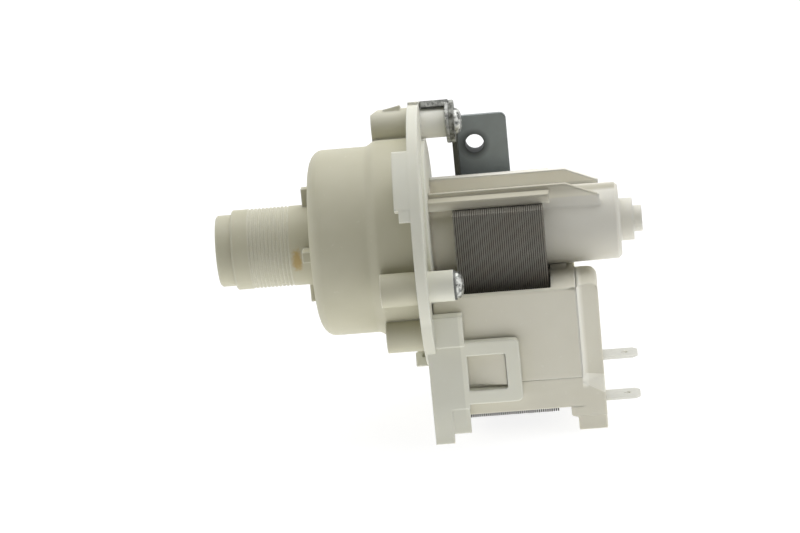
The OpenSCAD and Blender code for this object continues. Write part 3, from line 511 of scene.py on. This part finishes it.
def shaded(piece):
    """Flat faces stay flat and only true corners stay sharp."""
    piece.data.shade_smooth()
    piece.data.set_sharp_from_angle(angle=sharp_shade)
    level = piece.modifiers.new("flat faces", "WEIGHTED_NORMAL")
    level.keep_sharp = True
    return settled(piece)


def shell_edge(p):
    """The upper shell's near and far edges, with a fine line at the parting."""
    if not side_y < abs(p.y) < side_y + edge_slack or p.x > seam_x:
        return 0.0
    return 1.0 if p.z > joint_z else 0.1


def base_edge(p):
    """The lower shell's near and far edges, with a fine line at the parting."""
    if abs(p.y) < side_y or p.x > seam_x:
        return 0.0
    return 0.1 if p.z > joint_z - 0.001 else 0.5


def block_edge(p):
    """The block's free edges, well rounded under its front overhang and foot."""
    if p.x < foot_x and p.z < base_low.z - 0.001 and abs(p.y) < side_y - 0.002:
        return 1.0
    return 0.4 if p.x > seam_x + 0.0018 or p.z < base_low.z - 0.0003 else 0.0


def joined(first, second):
    """The first piece grown together with the second one."""
    union = first.modifiers.new("one moulding", "BOOLEAN")
    union.operation = "UNION"
    union.object = second
    settled(first)
    bpy.data.objects.remove(second)
    return first


upper_shell = shaded(bevelled("coil_housing", edge_round, shell_edge))
stands_for(upper_shell, cream, "coil_plastic", "pump", "coil_housing")
lower_shell = shaded(joined(bevelled("coil_base", edge_round, base_edge),
                            bevelled("terminal_block", edge_round, block_edge)))
stands_for(lower_shell, cream, "coil_plastic", "pump", "coil_base", "terminal_block")

along, above = (cream.axis(name) for name in "XZ")
facing = cream.node("ShaderNodeNewGeometry", {}, {}, "True Normal")
upward = cream.ramp(cream.axis("Z", facing), (0.1, 0.0), (0.25, 1.0))
behind = cream.between(along, seam_x, base_high.x)
corner = cream.between(along, seam_x + 0.0022, seam_x + 0.0012)
under = cream.between(above, joint_z + 0.004, joint_z + 0.003)
over = cream.between(above, joint_z - 0.004, joint_z - 0.003)
# Painted highlight: the block's upward shelf and the strip at its front corner are painted paler, where they
# catch the light.
pale = behind * (under * upward + corner * over)
cream.set(Base_Color=cream.blend(pale * 0.75, cream.colour, tint(248, 246, 234)))


# Spade terminals
# Two blades punched from tinned brass sheet and pressed into the block. Each has a small detent hole
# that its push-on receptacle snaps into.

tin = Finish("tinned_brass")
smear = tin.noise(0.0012, 3.0)
tin.set(Base_Color=tin.blend(smear, tint(206, 206, 198), tint(228, 227, 218)), Metallic=0.85,
        Roughness=0.3 + 0.18 * smear, Normal=tin.relief(smear, 0.00001, 0.3))
punched_round = 0.00015


def all_edges(p):
    return 1.0


for terminal in ("upper_terminal", "lower_terminal"):
    blade = shaded(bevelled(terminal, punched_round, all_edges, 2))
    stands_for(blade, tin, "tinned_brass", "pump", terminal)


# Bracket and clip
# A dark plated steel angle with a drawn fixing hole, held under the top screw, and the spring-steel
# clip between it and the frame's standoff.

fixing_hole, hole_reach = (0.0805, 0.0225, 0.0218), (0.0058, 0.02, 0.0058)
bracket_height = (0.012, 0.036)
flange_rear = (0.0758, 0.0755)
screw_foot = (0.0255, 0.0275)
folded_round = 0.00025
plated = Finish("dark_plated_steel")
patina = plated.ramp(plated.noise(0.005, 4.0), (0.35, 0.0), (0.7, 1.0))
fleck = plated.noise(0.0002, 2.0)
along, rise = (plated.axis(name) for name in "XZ")
# Painted fill light: the bracket's lower part is painted paler where the ribs shade it, mottled by patina.
upper = plated.between(rise, *bracket_height)
plated.colour = plated.blend(0.75 * upper + 0.25 * patina, tint(168, 177, 180), tint(142, 147, 144))
# Painted shade: a dark halo is painted round the fixing hole, where its drawn collar shades it.
painted_hole_shade = patch(plated, fixing_hole, hole_reach)
plated.colour = plated.blend(painted_hole_shade * 0.95, plated.colour, tint(34, 34, 31))
by_screw = plated.between(rise, *screw_foot)
worn = plated.ramp(plated.noise(0.0024, 4.0), (0.4, 0.0), (0.62, 1.0)) * by_screw
flange_tone = plated.blend(worn, tint(78, 78, 71), tint(176, 177, 171))
plated.colour = plated.blend(plated.between(along, *flange_rear), plated.colour, flange_tone)
plated.set(Base_Color=plated.colour, Metallic=0.1, Specular_IOR_Level=0.2,
           Roughness=0.5 + 0.14 * fleck, Normal=plated.relief(fleck, 0.00002, 0.4))
bracket = shaded(bevelled("mounting_bracket", folded_round, all_edges, 2))
stands_for(bracket, plated, "bracket_steel", "pump", "mounting_bracket")

galvanised = Finish("galvanised_steel")
spangle = galvanised.node("ShaderNodeTexVoronoi", {}, {"Vector": galvanised.place, "Scale": 1200.0}, "Color")
crystal = galvanised.node("ShaderNodeSeparateColor", {}, {"Color": spangle}, "Red")
galvanised.set(Base_Color=galvanised.blend(crystal, tint(112, 113, 110), tint(188, 189, 184)),
               Metallic=0.5, Roughness=0.34 + 0.24 * crystal,
               Normal=galvanised.relief(crystal, 0.00003, 0.4))
clip = shaded(bevelled("bracket_clip", folded_round, all_edges, 2))
stands_for(clip, galvanised, "bracket_steel", "pump", "bracket_clip")


# Case screws and washers
# Three bright zinc pan-head screws with cross recesses, driven from the motor's side, two of them
# on flat washers.

dull = Finish("dull_zinc")
film = dull.noise(0.0008, 3.0)
dull.set(Base_Color=dull.blend(film, tint(80, 82, 79), tint(128, 129, 125)), Metallic=0.7,
         Roughness=0.4 + 0.2 * film, Normal=dull.relief(film, 0.00002, 0.4))
dressed(dull, "screw_washers")

zinc = Finish("bright_zinc")
haze = zinc.ramp(zinc.noise(0.0013, 4.0), (0.38, 0.0), (0.6, 1.0))
zinc.set(Base_Color=zinc.blend(haze, tint(104, 106, 103), tint(222, 223, 218)), Metallic=0.85,
         Roughness=0.26 + 0.2 * haze, Normal=zinc.relief(haze, 0.00003, 0.4))

head_r = 0.004
head_h = 0.0021
rim_h = 0.0005
crown = 0.0026
shank_r = 0.002
shank_len = 0.0205
recess_deep = 0.0016
recess_wide = 0.001
recess_span = 0.0046
recess_taper = 0.6
screw_r = 0.0343
seats = [(math.radians(-20), 0.0755), (math.radians(100), 0.0735), (math.radians(-100), 0.0735)]


def screw_blank():
    """One pan-head screw along X with its seat at the origin and a cross recess in its head."""
    dome = [(rim_h + (head_h - rim_h) * math.sin(a), head_r - crown * (1 - math.cos(a)))
            for a in (math.radians(15 * i) for i in range(7))]
    shank = [(-shank_len, 0.0), (-shank_len, shank_r), (0.0, shank_r), (0.0, head_r)]
    shape = bmesh.new()
    line = [shape.verts.new((x, 0.0, r)) for x, r in shank + dome + [(head_h, 0.0)]]
    rim = [shape.edges.new(pair) for pair in zip(line, line[1:])]
    bmesh.ops.spin(shape, geom=line + rim, axis=(1.0, 0.0, 0.0), cent=(0.0, 0.0, 0.0),
                   angle=2 * math.pi, steps=40, use_merge=True)
    bmesh.ops.remove_doubles(shape, verts=shape.verts, dist=1e-6)
    bmesh.ops.recalc_face_normals(shape, faces=shape.faces)
    mesh = bpy.data.meshes.new("screw_blank")
    shape.to_mesh(mesh)
    shape.clear()
    for turn in (0.0, math.pi / 2):
        bar = bmesh.ops.create_cube(shape, size=1.0)["verts"]
        for vert in bar:
            narrow = recess_taper if vert.co.x < 0 else 1.0
            vert.co = Vector((head_h + recess_deep * vert.co.x, recess_wide * narrow * vert.co.y,
                              recess_span * narrow * vert.co.z))
        bmesh.ops.rotate(shape, verts=bar, cent=(0.0, 0.0, 0.0), matrix=Matrix.Rotation(turn, 3, "X"))
    cross = bpy.data.meshes.new("recess")
    shape.to_mesh(cross)
    shape.free()
    screw = linked("screw_blank", mesh)
    cutter = linked("recess", cross)
    recess = screw.modifiers.new("recess", "BOOLEAN")
    recess.object = cutter
    recess.solver = "EXACT"
    recess.use_self = True
    settled(screw)
    bpy.data.objects.remove(cutter)
    screw.data.shade_smooth()
    screw.data.set_sharp_from_angle(angle=sharp_shade)
    return screw


driven = screw_blank()
places = bpy.data.meshes.new("screw_seats")
places.from_pydata([(x, -screw_r * math.sin(t), screw_r * math.cos(t)) for t, x in seats], [], [])
fixing = Nodes("screw_set", Screw=("Object", driven), Seed=("Int", 3), Finish=("Material", zinc.material))
one = fixing.node("GeometryNodeObjectInfo", {}, {"Object": fixing.input("Screw")}, "Geometry")
seat_points = fixing.node("GeometryNodeMeshToPoints", {}, {"Mesh": fixing.input("Geometry")})
quarter = fixing.node("FunctionNodeRandomValue", {"data_type": "FLOAT"},
                      {"Min": 0.0, "Max": math.pi / 2, "Seed": fixing.input("Seed")}, 1)
spun = fixing.node("ShaderNodeCombineXYZ", {}, {"X": quarter})
set_screws = fixing.node("GeometryNodeInstanceOnPoints", {},
                         {"Points": seat_points, "Instance": one, "Rotation": spun})
screws = fixing.made("case_screw_set", set_screws, places)
bpy.data.objects.remove(driven)
stands_for(screws, zinc, "zinc_steel", "pump", "case_screws")


# Studio
# A pale floor under the feet, a white tent of light around the part that is dimmer on the camera's
# side, one lamp overhead, and a long lens at the photograph's angle.

def looked_at(finish):
    """1 for what the eye sees, also in metal or through clear pieces, and 0 for light on the part."""
    rays = [finish.node("ShaderNodeLightPath", {}, {}, "Is %s Ray" % name)
            for name in ("Camera", "Glossy", "Transmission")]
    return rays[0] + rays[1] + rays[2]


pool_centre, pool_reach = (0.06, -0.03, 0.0), (0.45, 0.45, 1.0)
paper = Finish("floor_paper")
seen = looked_at(paper)
pool = paper.ramp(distance(paper, pool_centre, pool_reach), (0.1, 0.9), (0.5, 0.5), (1.0, 0.18))
paper.set(Base_Color=(0.6, 0.6, 0.6, 1.0), Roughness=0.9, Specular_IOR_Level=0.1, Emission_Strength=1.0,
          Emission_Color=paper.blend(seen, pool, (0.66, 0.66, 0.66, 1.0)))
glow = paper.node("ShaderNodeEmission", {}, {"Color": (1.0, 1.0, 1.0, 1.0), "Strength": 1.0})
shadowed = Flow(paper, paper.shader.outputs[0])
bright = paper.node("ShaderNodeMixShader", {}, {0: seen * 0.6, 1: shadowed, 2: glow})
paper.tree.links.new(bright.link, paper.tree.nodes["Material Output"].inputs["Surface"])
floor_z = solid_box[0][2] - 0.0002
span = 6.0
sweep = bpy.data.meshes.new("floor")
sweep.from_pydata([(-span, -span, floor_z), (span, -span, floor_z), (span, span, floor_z),
                   (-span, span, floor_z)], [], [(0, 1, 2, 3)])
sweep.materials.append(paper.material)
floor = linked("floor", sweep)


class Tent(Finish):
    """The light around the part, with a finish's ways of adding nodes."""

    def __init__(self, name):
        self.world = bpy.data.worlds.new(name)
        self.world.use_nodes = True
        self.tree = self.world.node_tree
        self.shader = self.tree.nodes["Background"]
        self.place = self.node("ShaderNodeTexCoord", {}, {}, "Generated")


tent = Tent("light_tent")
lean = 0.2 * tent.axis("X") + tent.axis("Y")
shade = tent.node("ShaderNodeMapRange", {"interpolation_type": "SMOOTHSTEP"},
                  {"Value": lean, "From Min": -0.92, "From Max": 0.35, "To Min": 0.02, "To Max": 1.0})
tent.set(Color=(1.0, 1.0, 1.0, 1.0),
         Strength=tent.node("ShaderNodeMix", {}, {0: looked_at(tent), 2: shade, 3: 1.0}))
bpy.context.scene.world = tent.world

lamp = bpy.data.lights.new("overhead", "AREA")
lamp.shape = "RECTANGLE"
lamp.size = 0.9
lamp.size_y = 0.6
lamp.energy = 4.4
overhead = linked("overhead", lamp)
overhead.location = (0.05, 0.15, 0.8)
overhead.rotation_euler = (math.radians(-10), 0.0, 0.0)

lens = bpy.data.cameras.new("camera")
lens.sensor_width = 36.0
lens.lens = 144.0
lens.clip_start = 0.05
lens.clip_end = 20.0
camera = linked("camera", lens)
elevation, azimuth, roll = (math.radians(a) for a in (17.5, 3.65, 5.641))
target = Vector((0.055104, 0.0, -0.009482))
stand_back = 0.98676
back = Vector((math.sin(azimuth) * math.cos(elevation), -math.cos(azimuth) * math.cos(elevation),
               math.sin(elevation)))
level = Vector((math.cos(azimuth), math.sin(azimuth), 0.0))
upright = back.cross(level)
right = level * math.cos(roll) - upright * math.sin(roll)
top = level * math.sin(roll) + upright * math.cos(roll)
turned = Matrix((right, top, back)).transposed().to_4x4()
camera.matrix_world = Matrix.Translation(target + back * stand_back) @ turned
bpy.context.scene.camera = camera
bpy.context.scene.view_settings.view_transform = "Standard"
